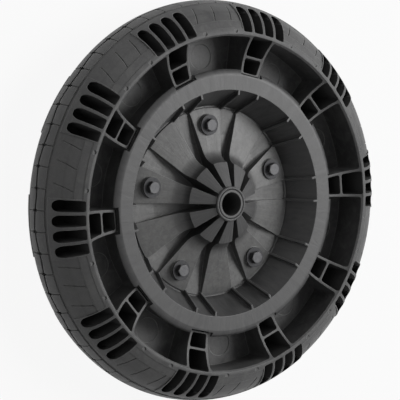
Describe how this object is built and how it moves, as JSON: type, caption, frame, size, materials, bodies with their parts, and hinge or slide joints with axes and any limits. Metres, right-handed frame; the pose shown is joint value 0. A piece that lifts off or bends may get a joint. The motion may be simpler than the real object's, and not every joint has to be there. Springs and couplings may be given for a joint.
{
  "type": "solid tyre wheel",
  "caption": "Puncture-proof wheelbarrow wheel: flexible cell tyre with open pockets and sidewall slots on a bolted two-piece plastic rim with a plain axle bore.",
  "frame": {"origin": "centre of the wheel, on the axle axis and in its mid-plane", "axes": "+Z along the axle axis, out of the pictured front side; +Y through one spoke of the tyre. The wheel lies flat on its rear side."},
  "size_m": [0.355, 0.355, 0.076],
  "materials": {
    "tyre": "moulded, satin",
    "rim_plastic": "moulded, satin",
    "bush_plastic": "moulded, satin",
    "fastener_steel": "blackened, satin"
  },
  "bodies": {
    "root": {"tyre": "tyre", "rim_front": "rim_plastic", "rim_rear": "rim_plastic", "axle_bush": "bush_plastic", "bolt_1": "fastener_steel", "bolt_2": "fastener_steel", "bolt_3": "fastener_steel", "bolt_4": "fastener_steel", "bolt_5": "fastener_steel", "washer_front_1": "fastener_steel", "washer_front_2": "fastener_steel", "washer_front_3": "fastener_steel", "washer_front_4": "fastener_steel", "washer_front_5": "fastener_steel", "washer_rear_1": "fastener_steel", "washer_rear_2": "fastener_steel", "washer_rear_3": "fastener_steel", "washer_rear_4": "fastener_steel", "washer_rear_5": "fastener_steel", "nut_1": "fastener_steel", "nut_2": "fastener_steel", "nut_3": "fastener_steel", "nut_4": "fastener_steel", "nut_5": "fastener_steel"}
  },
  "joints": []
}
